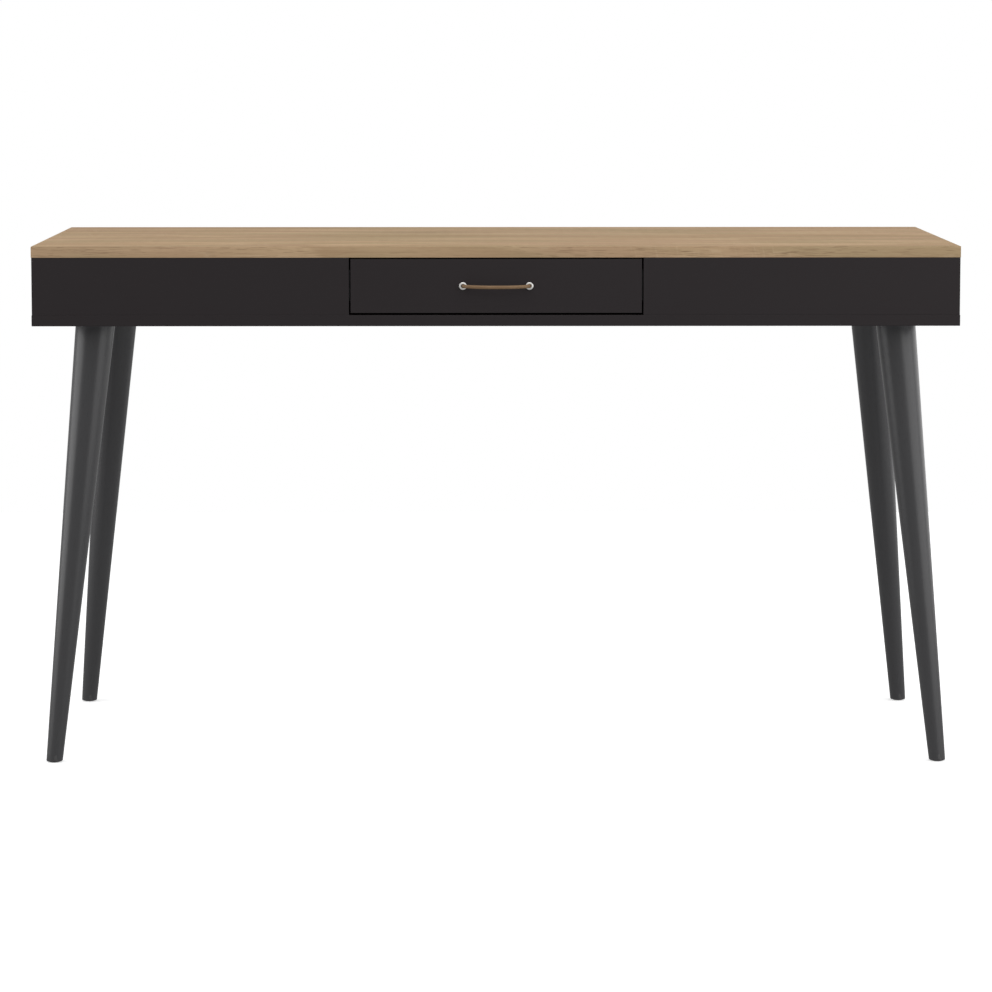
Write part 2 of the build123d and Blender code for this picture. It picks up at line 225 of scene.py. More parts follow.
# ---------------------------------------------------------------------------------------------
# The hidden joinery: fluted beech dowels, and cam locks with their bolts, which pull the uprights
# against the two slabs. The dowels are raw wood, and the cams and bolts are zinc die castings.
def raw_beech():
    beech = Finish("raw_beech", {})
    fibres = cloud(beech, beech.place, (1, 1, 0.05), 900.0)
    flecks = between(beech, cloud(beech, beech.place, (1, 1, 0.2), 500.0, 2.0), 0.58, 0.66)
    shade = blended(beech, fibres, (0.52, 0.37, 0.24, 1), (0.66, 0.50, 0.35, 1))
    beech.drive("Base Color", blended(beech, flecks * 0.5, shade, (0.40, 0.25, 0.15, 1)))
    beech.drive("Roughness", 0.62 + fibres * 0.2)
    beech.drive("Normal", raised(beech, fibres, 0.4, 0.0002))
    return beech


def zinc_plate():
    zinc = Finish("zinc_plate", {"Metallic": 1.0})
    bloom = cloud(zinc, zinc.place, (1, 1, 1), 60.0, 4.0)
    grit = cloud(zinc, zinc.place, (1, 1, 1), 1200.0, 2.0)
    zinc.drive("Base Color", blended(zinc, bloom, (0.46, 0.47, 0.49, 1), (0.66, 0.66, 0.65, 1)))
    zinc.drive("Roughness", 0.28 + bloom * 0.18 + grit * 0.1)
    zinc.drive("Normal", raised(zinc, grit, 0.2, 0.0001))
    return zinc


zinc = zinc_plate()
dress(raw_beech(), ["dowels", "drawer_front_dowels"])
dress(zinc, ["cam_locks", "cam_bolts"])


# ---------------------------------------------------------------------------------------------
# The desk top: a 16 mm board with a printed oak decor on both faces, and a 1 mm edging strip of
# the same decor glued round its four sides. The grain follows the length of each strip.
top_low, top_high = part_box("desk_top")
edging = 0.001


def plank(name, low, high, ease, grain_turned, grain_shift):
    """A board with eased edges and a grain attribute that runs along its length."""
    shape = bmesh.new()
    bmesh.ops.create_cube(shape, size=1.0)
    middle = (Vector(low) + Vector(high)) / 2
    size = Vector(high) - Vector(low)
    for corner in shape.verts:
        corner.co = middle + Vector(a * b for a, b in zip(corner.co, size))
    edges = shape.edges[:]
    bmesh.ops.bevel(shape, geom=edges, offset=ease, segments=4, profile=0.5, affect="EDGES")
    mesh = bpy.data.meshes.new(name)
    shape.to_mesh(mesh)
    shape.free()
    for face in mesh.polygons:
        face.use_smooth = True
    mesh.set_sharp_from_angle(angle=math.radians(40))
    grain = mesh.attributes.new("grain", "FLOAT_VECTOR", "POINT")
    for vertex, mark in zip(mesh.vertices, grain.data):
        x, y, z = vertex.co
        along, across = (y, x) if grain_turned else (x, y)
        mark.vector = Vector((along, across, z)) + Vector(grain_shift)
    piece = bpy.data.objects.new(name, mesh)
    scene.collection.objects.link(piece)
    return piece


def oak_decor():
    oak = Finish("oak_decor", {"Specular IOR Level": 0.03})
    grain = oak.node("ShaderNodeAttribute", {"attribute_name": "grain"})["Vector"]
    parts = oak.node("ShaderNodeSeparateXYZ", {}, {"Vector": grain})

    # Knots are rare: few cells of a wide, drawn-out pattern hold one. The rings part round it.
    cells = oak.node("ShaderNodeMapping", {}, {"Vector": grain, "Scale": (1.7, 5.5, 5.5)})
    scattered = {"Vector": cells, "Scale": 1.0, "Randomness": 0.9}
    knots = oak.node("ShaderNodeTexVoronoi", {}, scattered)
    lot = oak.node("ShaderNodeSeparateColor", {}, {"Color": knots["Color"]})
    chosen = lot["Red"].worked("GREATER_THAN", lot["Red"], 0.62)
    near_knot = (1 - between(oak, knots["Distance"], 0.02, 0.30)) * chosen
    heart = (1 - between(oak, knots["Distance"], 0.012, 0.05)) * chosen

    # Growth rings: contour lines of a slow, drawn-out field, which run long and close in arches.
    field = cloud(oak, grain, (0.45, 3.0, 3.0), 1.5, 2.0, 0.45)
    ripple = cloud(oak, grain, (3.0, 24.0, 24.0), 1.0, 2.0, 0.5)
    phase = field * 17.0 + parts["Y"] * 6.0 + ripple * 0.55 + near_knot * 1.6
    ring = phase.worked("FRACT", phase)
    late_wood = between(oak, ring, 0.15, 0.9) * (1 - between(oak, ring, 0.9, 1.0))

    # Fibres, open pores in the early wood and short pale rays.
    fibres = cloud(oak, grain, (7.0, 420.0, 420.0), 1.0, 4.0, 0.65)
    streaks = cloud(oak, grain, (1.6, 90.0, 90.0), 1.0, 3.0, 0.6)
    pore_field = cloud(oak, grain, (45.0, 1500.0, 1500.0), 1.0, 1.0, 0.5)
    pores = between(oak, pore_field, 0.58, 0.68) * (0.25 + (1 - late_wood) * 0.75)
    rays = between(oak, cloud(oak, grain, (28.0, 260.0, 260.0), 1.0, 1.0, 0.5), 0.64, 0.74)
    splits = cloud(oak, grain, (9.0, 600.0, 600.0), 1.0, 2.0, 0.5)
    cracks = between(oak, splits, 0.62, 0.68) * near_knot

    # Patches of rosy and olive wood.
    rosy = between(oak, cloud(oak, grain, (2.6, 13.0, 13.0), 1.0, 2.0, 0.5), 0.42, 0.60)
    olive = between(oak, cloud(oak, grain, (2.1, 16.0, 16.0), 1.3, 2.0, 0.5), 0.46, 0.64)

    # Boards in the decor: wide bands of darker and lighter wood that fade into each other.
    dark_bands = between(oak, cloud(oak, grain, (1.1, 11.0, 11.0), 1.0, 1.5, 0.5), 0.48, 0.62)
    pale_bands = between(oak, cloud(oak, grain, (0.9, 9.0, 9.0), 1.4, 1.5, 0.5), 0.50, 0.64)

    # Marks of the saw: pale, slightly slanting ticks across the grain, in patches.
    tick_place = parts["X"] + (parts["Y"] + parts["Z"]) * 0.22
    slanted = {"X": tick_place, "Y": parts["Y"], "Z": parts["Z"]}
    slanted = oak.node("ShaderNodeCombineXYZ", {}, slanted)
    ticks = between(oak, cloud(oak, slanted, (260.0, 16.0, 16.0), 1.0, 1.0, 0.5), 0.54, 0.68)
    patch = between(oak, cloud(oak, grain, (3.5, 12.0, 12.0), 1.0, 3.0, 0.6), 0.50, 0.66)
    sawn = ticks * patch

    early, late = (0.590, 0.422, 0.262, 1), (0.415, 0.280, 0.166, 1)
    shade = blended(oak, late_wood * 0.55 + streaks * 0.45, early, late)
    shade = blended(oak, dark_bands * 0.50, shade, (0.350, 0.228, 0.126, 1))
    shade = blended(oak, pale_bands * 0.35, shade, (0.640, 0.470, 0.300, 1))
    shade = blended(oak, rosy * 0.45, shade, (0.430, 0.276, 0.180, 1))
    shade = blended(oak, olive * 0.45, shade, (0.380, 0.308, 0.172, 1))
    shade = blended(oak, between(oak, fibres, 0.35, 0.75) * 0.30, shade, (0.300, 0.195, 0.110, 1))
    shade = blended(oak, rays * 0.22 + sawn * 0.26, shade, (0.600, 0.460, 0.310, 1))
    shade = blended(oak, pores * 0.55, shade, (0.170, 0.105, 0.055, 1))
    shade = blended(oak, near_knot * 0.22, shade, (0.260, 0.155, 0.085, 1))
    shade = blended(oak, heart * 0.75 + cracks * 0.5, shade, (0.075, 0.045, 0.025, 1))
    oak.drive("Base Color", shade)
    oak.drive("Roughness", 0.58 + fibres * 0.10 + pores * 0.12)
    relief = fibres * 0.5 - pores * 0.8 - cracks - sawn * 0.5
    oak.drive("Normal", raised(oak, relief, 0.22, 0.0003))
    return oak


oak = oak_decor()
board_ease = 0.00008
strip_ease = 0.00045
strip_x = (top_low.x + edging, top_high.x - edging)
strip_y = (top_low.y + edging, top_high.y - edging)
top_pieces = [
    plank(
        "desk_top_board",
        (strip_x[0], strip_y[0], top_low.z),
        (strip_x[1], strip_y[1], top_high.z),
        board_ease, False, (0.0, 0.0, 0.0),
    ),
    plank(
        "desk_top_edging_front",
        (top_low.x, top_low.y, top_low.z),
        (top_high.x, strip_y[0], top_high.z),
        strip_ease, False, (2.3, 0.9, 0.0),
    ),
    plank(
        "desk_top_edging_back",
        (top_low.x, strip_y[1], top_low.z),
        (top_high.x, top_high.y, top_high.z),
        strip_ease, False, (5.1, 1.7, 0.0),
    ),
    plank(
        "desk_top_edging_left",
        (top_low.x, strip_y[0], top_low.z),
        (strip_x[0], strip_y[1], top_high.z),
        strip_ease, True, (7.9, 2.6, 0.0),
    ),
    plank(
        "desk_top_edging_right",
        (strip_x[1], strip_y[0], top_low.z),
        (top_high.x, strip_y[1], top_high.z),
        strip_ease, True, (9.4, 3.8, 0.0),
    ),
]
for piece in top_pieces:
    piece.data.materials.append(oak.material)
    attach(piece, "carcass")
    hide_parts("desk_top")


# ---------------------------------------------------------------------------------------------
# The legs: turned beech cones that lean outwards, cut level at both ends, in a satin dark grey
# lacquer. The foot's rim is rounded and drilled for a glide.
class Shaping(Bench):
    """A geometry tree with named inputs that turns a starting mesh into a plain finished one."""

    def __init__(self, name, inputs):
        super().__init__(bpy.data.node_groups.new(name, "GeometryNodeTree"))
        sockets = self.tree.interface
        sockets.new_socket(name="Geometry", in_out="INPUT", socket_type="NodeSocketGeometry")
        self.places = {}
        for label, kind in inputs.items():
            made = sockets.new_socket(name=label, in_out="INPUT", socket_type="NodeSocket" + kind)
            self.places[label] = made.identifier
        sockets.new_socket(name="Geometry", in_out="OUTPUT", socket_type="NodeSocketGeometry")
        self.given = self.node("NodeGroupInput")

    def close(self, geometry):
        whole = self.node("GeometryNodeRealizeInstances", {}, {"Geometry": geometry})
        coated = {"Geometry": whole, "Material": self.given["Finish"]}
        finished = self.node("GeometryNodeSetMaterial", {}, coated)
        self.node("NodeGroupOutput", {}, {"Geometry": finished})

    def make(self, name, start, values):
        blank = bpy.data.objects.new(name + "_blank", start)
        scene.collection.objects.link(blank)
        modifier = blank.modifiers.new("shaping", "NODES")
        modifier.node_group = self.tree
        for label, value in values.items():
            modifier[self.places[label]] = value
        shaped = blank.evaluated_get(bpy.context.evaluated_depsgraph_get())
        mesh = bpy.data.meshes.new_from_object(shaped)
        blank.modifiers.remove(modifier)
        bpy.data.objects.remove(blank)
        mesh.set_sharp_from_angle(angle=math.radians(35))
        piece = bpy.data.objects.new(name, mesh)
        scene.collection.objects.link(piece)
        return piece


def turning_tree():
    """A lathe: sweeps an outline of radii and heights round Z, leans it, turns and places it."""
    inputs = {"Sides": "Int", "Lean": "Vector", "Turn": "Rotation", "Place": "Vector"}
    tree = Shaping("turned_piece", {**inputs, "Finish": "Material"})
    given = tree.given
    outline = given["Geometry"]
    rows = tree.node("GeometryNodeAttributeDomainSize", {}, {"Geometry": outline})
    sheet = {"Size X": 1.0, "Size Y": 1.0, "Vertices X": given["Sides"] + 1, "Vertices Y": rows}
    blank = tree.node("GeometryNodeMeshGrid", {}, sheet)
    flat = tree.node("GeometryNodeInputPosition")
    spot = tree.node("ShaderNodeSeparateXYZ", {}, {"Vector": flat})
    angle = (spot["X"] + 0.5) * math.tau
    row = spot["Y"].worked("ROUND", (spot["Y"] + 0.5) * (rows - 1))
    sample = {"Geometry": outline, "Value": tree.node("GeometryNodeInputPosition"), "Index": row}
    point = tree.node("GeometryNodeSampleIndex", {"data_type": "FLOAT_VECTOR"}, sample)
    drawn = tree.node("ShaderNodeSeparateXYZ", {}, {"Vector": point})
    across = drawn["X"] * angle.worked("COSINE", angle)
    beside = drawn["X"] * angle.worked("SINE", angle)
    rolled = tree.node("ShaderNodeCombineXYZ", {}, {"X": across, "Y": beside, "Z": drawn["Z"]})
    swept = tree.node("GeometryNodeSetPosition", {}, {"Geometry": blank, "Position": rolled})
    closed = tree.node("GeometryNodeMergeByDistance", {}, {"Geometry": swept, "Distance": 1e-6})
    local = tree.node("GeometryNodeInputPosition")
    kept = {"Geometry": closed, "Name": "grain", "Value": local}
    marked = tree.node("GeometryNodeStoreNamedAttribute", {"data_type": "FLOAT_VECTOR"}, kept)
    height = tree.node("ShaderNodeSeparateXYZ", {}, {"Vector": local})["Z"]
    slant = {"Vector": given["Lean"], "Scale": height}
    sideways = tree.node("ShaderNodeVectorMath", {"operation": "SCALE"}, slant)
    leaning = tree.node("GeometryNodeSetPosition", {}, {"Geometry": marked, "Offset": sideways})
    placing = {"Geometry": leaning, "Rotation": given["Turn"], "Translation": given["Place"]}
    placed = tree.node("GeometryNodeTransform", {}, placing)
    tree.close(tree.node("GeometryNodeSetShadeSmooth", {}, {"Geometry": placed}))
    return tree


def arc(centre_radius, centre_height, radius, start, end, steps):
    """Points of an outline on an arc between two angles in degrees, where 0 points outwards."""
    points = []
    for step in range(steps + 1):
        angle = math.radians(start + (end - start) * step / steps)
        across = centre_radius + radius * math.cos(angle)
        points.append((across, centre_height + radius * math.sin(angle)))
    return points


def outline_mesh(points):
    mesh = bpy.data.meshes.new("outline")
    lines = [(number, number + 1) for number in range(len(points) - 1)]
    mesh.from_pydata([(radius, 0.0, height) for radius, height in points], lines, [])
    return mesh


def leg_lacquer():
    lacquer = Finish("leg_lacquer", {"Specular IOR Level": 0.5})
    grain = lacquer.node("ShaderNodeAttribute", {"attribute_name": "grain"})["Vector"]
    fibres = cloud(lacquer, grain, (620.0, 620.0, 9.0), 1.0, 3.0, 0.6)
    pores = between(lacquer, cloud(lacquer, grain, (1500.0, 1500.0, 60.0), 1.0, 1.0), 0.62, 0.72)
    patches = cloud(lacquer, grain, (18.0, 18.0, 3.0), 1.0, 3.0)
    orange_peel = cloud(lacquer, grain, (1, 1, 1), 260.0, 2.0)
    height = lacquer.node("ShaderNodeSeparateXYZ", {}, {"Vector": grain})["Z"]
    scuffs = cloud(lacquer, grain, (240.0, 240.0, 90.0), 1.0, 3.0)
    worn = between(lacquer, scuffs, 0.60, 0.70) * (1 - between(lacquer, height, 0.004, 0.05))
    shade = blended(lacquer, patches, (0.0385, 0.0380, 0.0402, 1), (0.0470, 0.0464, 0.0490, 1))
    shade = blended(lacquer, pores * 0.35, shade, (0.012, 0.012, 0.013, 1))
    shade = blended(lacquer, worn * 0.45, shade, (0.10, 0.098, 0.095, 1))
    lacquer.drive("Base Color", shade)
    lacquer.drive("Roughness", 0.27 + patches * 0.07 + fibres * 0.05 + worn * 0.2)
    relief = fibres * 0.35 + orange_peel * 0.4 - pores * 0.3
    lacquer.drive("Normal", raised(lacquer, relief, 0.16, 0.0003))
    return lacquer


turned = turning_tree()
lacquer = leg_lacquer()
corners = ("front_left", "front_right", "back_left", "back_right")
leg_splay = 0.061
leg_foot_radius = 0.012
leg_top_radius = 0.029
full_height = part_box("bottom_panel")[0].z
taper = (leg_top_radius - leg_foot_radius) / full_height
foot_rim = 0.002
top_rim = 0.0006
glide_radius = 0.008
shares_of_height = (0.02, 0.06, 0.12, 0.25, 0.4, 0.55, 0.7, 0.85, 0.95)
for corner in corners:
    low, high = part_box("leg_" + corner)
    glide_low, glide_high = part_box("foot_glide_" + corner)
    foot = (glide_low + glide_high) / 2
    side = math.copysign(1.0, foot.x)
    depth = math.copysign(1.0, foot.y)
    sole = leg_foot_radius + taper * low.z
    outline = [(0.0, glide_high.z), (glide_radius, glide_high.z), (glide_radius, low.z)]
    outline += arc(sole - foot_rim, low.z + foot_rim, foot_rim, -90, 0, 8)
    for share in shares_of_height:
        height = low.z + share * (high.z - low.z)
        outline.append((leg_foot_radius + taper * height, height))
    shoulder = leg_foot_radius + taper * high.z
    outline += arc(shoulder - top_rim, high.z - top_rim, top_rim, 0, 90, 4)
    outline.append((0.0, high.z))
    values = {
        "Sides": 96,
        "Lean": (-side * leg_splay / full_height, -depth * leg_splay / full_height, 0.0),
        "Place": (foot.x, foot.y, 0.0),
        "Finish": lacquer.material,
    }
    leg = turned.make("turned_leg_" + corner, outline_mesh(outline), values)
    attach(leg, "carcass")
    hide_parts("leg_" + corner)


# ---------------------------------------------------------------------------------------------
# The leg fittings: a steel plate with rounded corners under the bottom panel at each corner, the
# hanger bolt that joins it to the leg, and a black plastic glide pressed into the foot.
def black_plastic():
    plastic = Finish("black_plastic", {"Specular IOR Level": 0.5})
    spark = cloud(plastic, plastic.place, (1, 1, 1), 1800.0, 2.0)
    rubbed = between(plastic, cloud(plastic, plastic.place, (1, 1, 1), 240.0, 3.0), 0.5, 0.7)
    shade = blended(plastic, rubbed, (0.012, 0.012, 0.012, 1), (0.035, 0.034, 0.033, 1))
    plastic.drive("Base Color", shade)
    plastic.drive("Roughness", 0.45 + rubbed * 0.25)
    plastic.drive("Normal", raised(plastic, spark, 0.4, 0.0002))
    return plastic


dress(zinc, ["leg_plate_" + corner for corner in corners] + ["leg_studs"])
plastic = black_plastic()
glide_rim = 0.0006
dish_radius = 0.0045
dish_depth = 0.0002
for corner in corners:
    low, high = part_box("foot_glide_" + corner)
    middle = (low + high) / 2
    outline = [(0.0, low.z + dish_depth), (dish_radius, low.z)]
    outline += arc(glide_radius - glide_rim, low.z + glide_rim, glide_rim, -90, 0, 6)
    outline += [(glide_radius, high.z), (0.0, high.z)]
    values = {"Sides": 64, "Place": (middle.x, middle.y, 0.0), "Finish": plastic.material}
    glide = turned.make("glide_" + corner, outline_mesh(outline), values)
    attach(glide, "carcass")
    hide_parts("foot_glide_" + corner)


# ---------------------------------------------------------------------------------------------
# The screws: flat-headed chipboard screws with a cross recess, zinc plated. They hold the leg
# plates, both outer members of the slides and the drawer's back.
def screw_tree():
    """One flat-headed screw with a cross recess, set on every point and turned one way."""
    inputs = {"Head Radius": "Float", "Shank Radius": "Float", "Length": "Float"}
    tree = Shaping("driven_screws", {**inputs, "Turn": "Rotation", "Finish": "Material"})
    given = tree.given
    head_height = given["Head Radius"] - given["Shank Radius"]
    cone = {
        "Vertices": 32,
        "Radius Top": given["Shank Radius"],
        "Radius Bottom": given["Head Radius"],
        "Depth": head_height,
    }
    head = tree.node("GeometryNodeMeshCone", {}, cone)
    shank_depth = given["Length"] - head_height
    shank_size = {"Vertices": 16, "Radius": given["Shank Radius"], "Depth": shank_depth}
    shank = tree.node("GeometryNodeMeshCylinder", {}, shank_size)
    middle = tree.node("ShaderNodeCombineXYZ", {}, {"Z": (given["Length"] + head_height) / 2})
    shank = tree.node("GeometryNodeTransform", {}, {"Geometry": shank, "Translation": middle})
    arm_length, arm_width, arm_height = 1.15, 0.24, 0.0022
    arms = []
    for share_x, share_y in ((arm_length, arm_width), (arm_width, arm_length)):
        arm_size = {"X": given["Head Radius"] * share_x, "Y": given["Head Radius"] * share_y}
        box = {"Size": tree.node("ShaderNodeCombineXYZ", {}, {**arm_size, "Z": arm_height})}
        arms.append(tree.node("GeometryNodeMeshCube", {}, box))
    cut = tree.node("GeometryNodeMeshBoolean", {"operation": "DIFFERENCE"}, {0: head, 1: arms[0]})
    cut = tree.node("GeometryNodeMeshBoolean", {"operation": "DIFFERENCE"}, {0: cut, 1: arms[1]})
    both = tree.node("GeometryNodeJoinGeometry")
    for part in (cut, shank):
        tree.tree.links.new(part.socket, both.socket.node.inputs["Geometry"])
    spread = {"Points": given["Geometry"], "Instance": both, "Rotation": given["Turn"]}
    tree.close(tree.node("GeometryNodeInstanceOnPoints", {}, spread))
    return tree


def points_mesh(points):
    mesh = bpy.data.meshes.new("points")
    mesh.from_pydata([tuple(point) for point in points], [], [])
    return mesh


screws = screw_tree()
plate_reach = 0.031
plate_points = []
for corner in corners:
    low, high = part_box("leg_plate_" + corner)
    middle = (low + high) / 2
    for dx in (-plate_reach, plate_reach):
        for dy in (-plate_reach, plate_reach):
            plate_points.append((middle.x + dx, middle.y + dy, low.z))
values = {
    "Head Radius": 0.0036,
    "Shank Radius": 0.00175,
    "Length": 0.015,
    "Finish": zinc.material,
}
plate_screws = screws.make("screws_of_leg_plates", points_mesh(plate_points), values)
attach(plate_screws, "carcass")
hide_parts("leg_plate_screws")


# ---------------------------------------------------------------------------------------------
# The telescopic slides: on each side three nested channels of cold rolled steel strip, plated in
# black zinc, and two plastic cages with rows of polished balls between them.
def rolled_steel():
    steel = Finish("rolled_steel", {"Metallic": 1.0})
    roll_marks = cloud(steel, steel.place, (1, 0.01, 1), 1600.0, 3.0, 0.7)
    bloom = cloud(steel, steel.place, (1, 0.35, 1), 45.0, 4.0)
    grease = between(steel, cloud(steel, steel.place, (1, 0.2, 1), 110.0, 3.0), 0.55, 0.7)
    shade = blended(steel, bloom, (0.070, 0.072, 0.076, 1), (0.110, 0.110, 0.112, 1))
    steel.drive("Base Color", blended(steel, grease * 0.4, shade, (0.055, 0.050, 0.044, 1)))
    steel.drive("Roughness", 0.30 + roll_marks * 0.18 + bloom * 0.08)
    steel.drive("Normal", raised(steel, roll_marks, 0.15, 0.0001))
    return steel


def cage_plastic():
    nylon = Finish("cage_plastic", {"Specular IOR Level": 0.5})
    haze = cloud(nylon, nylon.place, (1, 1, 1), 90.0, 3.0)
    nylon.drive("Base Color", blended(nylon, haze, (0.40, 0.40, 0.37, 1), (0.48, 0.48, 0.45, 1)))
    nylon.drive("Roughness", 0.38 + haze * 0.15)
    nylon.drive("Normal", raised(nylon, haze, 0.1, 0.0002))
    return nylon


def polished_ball():
    ball = Finish("polished_ball", {"Metallic": 1.0})
    film = cloud(ball, ball.place, (1, 1, 1), 700.0, 2.0)
    ball.drive("Base Color", blended(ball, film, (0.66, 0.66, 0.67, 1), (0.78, 0.78, 0.78, 1)))
    ball.drive("Roughness", 0.08 + film * 0.08)
    return ball


def ball_tree():
    """A round ball on every point, as fine as its small size needs."""
    tree = Shaping("ball_rows", {"Radius": "Float", "Finish": "Material"})
    size = {"Segments": 20, "Rings": 12, "Radius": tree.given["Radius"]}
    ball = tree.node("GeometryNodeMeshUVSphere", {}, size)
    ball = tree.node("GeometryNodeSetShadeSmooth", {}, {"Geometry": ball})
    spread = {"Points": tree.given["Geometry"], "Instance": ball}
    tree.close(tree.node("GeometryNodeInstanceOnPoints", {}, spread))
    return tree


steel = rolled_steel()
members = ["slide_cabinet_member", "slide_middle_member", "slide_drawer_member"]
dress(steel, [member + side for member in members for side in ("_left", "_right")])
cages = ["ball_cage_outer", "ball_cage_inner"]
dress(cage_plastic(), [cage + side for cage in cages for side in ("_left", "_right")])
ball_radius = 0.0016
balls_in_a_row = 6
ball_steel = polished_ball()
ball_rows = ball_tree()
for cage in ("outer", "inner"):
    low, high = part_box("slide_balls_" + cage)
    first = low.y + ball_radius
    pitch = (high.y - low.y - 2 * ball_radius) / (balls_in_a_row - 1)
    points = []
    for x in (low.x + ball_radius, high.x - ball_radius):
        for z in (low.z + ball_radius, high.z - ball_radius):
            points += [(x, first + pitch * number, z) for number in range(balls_in_a_row)]
    values = {"Radius": ball_radius, "Finish": ball_steel.material}
    balls = ball_rows.make("balls_" + cage, points_mesh(points), values)
    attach(balls, cage + "_cages")
    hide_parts("slide_balls_" + cage)
dress(zinc, ["cabinet_slide_screws", "drawer_slide_screws", "drawer_back_screws"])


# ---------------------------------------------------------------------------------------------
# The drawer box: sides and back of 12 mm board in a plain graphite foil, and a thin fibreboard
# bottom in grooves all round. The front is a 16 mm charcoal board like the panels beside it.
def graphite_foil():
    foil = Finish("graphite_foil", {"Specular IOR Level": 0.4})
    linen = cloud(foil, foil.place, (1, 0.06, 1), 800.0, 2.0) * 0.5
    linen = linen + cloud(foil, foil.place, (1, 1, 0.06), 800.0, 2.0) * 0.5
    patches = cloud(foil, foil.place, (1, 1, 1), 7.0)
    shade = blended(foil, patches, (0.060, 0.060, 0.062, 1), (0.076, 0.076, 0.079, 1))
    foil.drive("Base Color", blended(foil, linen * 0.5, shade, (0.095, 0.095, 0.098, 1)))
    foil.drive("Roughness", 0.48 + patches * 0.1)
    foil.drive("Normal", raised(foil, linen, 0.25, 0.0002))
    return foil


def fibreboard():
    board = Finish("fibreboard", {"Specular IOR Level": 0.35})
    fluff = cloud(board, board.place, (1, 1, 1), 260.0, 4.0, 0.65)
    patches = cloud(board, board.place, (1, 1, 1), 5.0)
    shade = blended(board, patches, (0.085, 0.085, 0.088, 1), (0.105, 0.105, 0.108, 1))
    tufts = between(board, fluff, 0.45, 0.7)
    board.drive("Base Color", blended(board, tufts * 0.4, shade, (0.14, 0.14, 0.142, 1)))
    board.drive("Roughness", 0.55 + fluff * 0.12)
    board.drive("Normal", raised(board, fluff, 0.2, 0.0002))
    return board


dress(graphite_foil(), ["drawer_side_left", "drawer_side_right", "drawer_back"])
dress(fibreboard(), ["drawer_bottom"])
dress(charcoal, ["drawer_front"])


# ---------------------------------------------------------------------------------------------
# The eyelets: two nickel plated tubes through the drawer front, each with a rolled, domed rim
# outside and pressed over a loose washer inside.
def bright_nickel():
    nickel = Finish("bright_nickel", {"Metallic": 1.0})
    haze = cloud(nickel, nickel.place, (1, 1, 1), 420.0, 3.0)
    scratches = cloud(nickel, nickel.place, (1, 1, 0.12), 2600.0, 2.0)
    shade = blended(nickel, haze, (0.84, 0.83, 0.80, 1), (0.94, 0.93, 0.90, 1))
    nickel.drive("Base Color", shade)
    nickel.drive("Roughness", 0.20 + haze * 0.12 + scratches * 0.08)
    nickel.drive("Normal", raised(nickel, scratches, 0.12, 0.0001))
    return nickel


nickel = bright_nickel()
front_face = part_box("drawer_front")[0].y
bore = 0.0026
barrel = 0.0034
mouth = 0.0006
washer_edge = 0.0004
washer_cup = 0.0048
for side in ("left", "right"):
    low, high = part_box("handle_eyelet_" + side)
    middle = (low + high) / 2
    tube_end = front_face - high.y
    rim_height = front_face - low.y
    rim_radius = (high.x - low.x) / 2
    roll = rim_height / 2
    outline = [(bore, tube_end), (barrel, tube_end), (barrel, 0.0)]
    outline += arc(rim_radius - roll, roll, roll, -90, 60, 10)
    outline += arc(bore + mouth, rim_height - mouth, mouth, 90, 180, 6)
    outline.append((bore, tube_end))
    values = {"Sides": 96, "Place": (middle.x, front_face, middle.z), "Finish": nickel.material}
    values["Turn"] = (math.pi / 2, 0.0, 0.0)
    eyelet = turned.make("eyelet_" + side, outline_mesh(outline), values)
    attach(eyelet, "drawer")
    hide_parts("handle_eyelet_" + side)

    low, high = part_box("eyelet_washer_" + side)
    outer = (high.x - low.x) / 2
    thick = high.y - low.y
    outline = [(barrel, 0.0)] + arc(outer - washer_edge, washer_edge, washer_edge, -90, 0, 4)
    outline += [(outer - 0.0006, thick * 0.7), (washer_cup, thick)]
    outline += [(barrel, thick), (barrel, 0.0)]
    values["Place"] = (middle.x, low.y, middle.z)
    values["Turn"] = (-math.pi / 2, 0.0, 0.0)
    washer = turned.make("washer_" + side, outline_mesh(outline), values)
    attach(washer, "drawer")
    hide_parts("eyelet_washer_" + side)


# ---------------------------------------------------------------------------------------------
# The pull: one round lace of brown leather. It comes straight out of one eyelet, bows away from
# the front and goes into the other, and is knotted inside the drawer at both ends.
def lace_leather():
    leather = Finish("lace_leather", {"Specular IOR Level": 0.3, "Sheen Weight": 0.04})
    tone = cloud(leather, leather.place, (0.4, 1, 1), 150.0, 3.0)
    pebble = leather.node("ShaderNodeTexVoronoi", {}, {"Vector": leather.place, "Scale": 1500.0})
    wrinkles = cloud(leather, leather.place, (0.5, 1, 1), 1900.0, 3.0)
    creases = between(leather, wrinkles, 0.50, 0.70)
    shade = blended(leather, tone, (0.178, 0.104, 0.050, 1), (0.275, 0.174, 0.094, 1))
    shade = blended(leather, creases * 0.30, shade, (0.095, 0.050, 0.024, 1))
    leather.drive("Base Color", shade)
    leather.drive("Roughness", 0.50 + tone * 0.12)
    leather.drive("Normal", raised(leather, pebble * 0.5 - creases * 0.5, 0.35, 0.0003))
    return leather


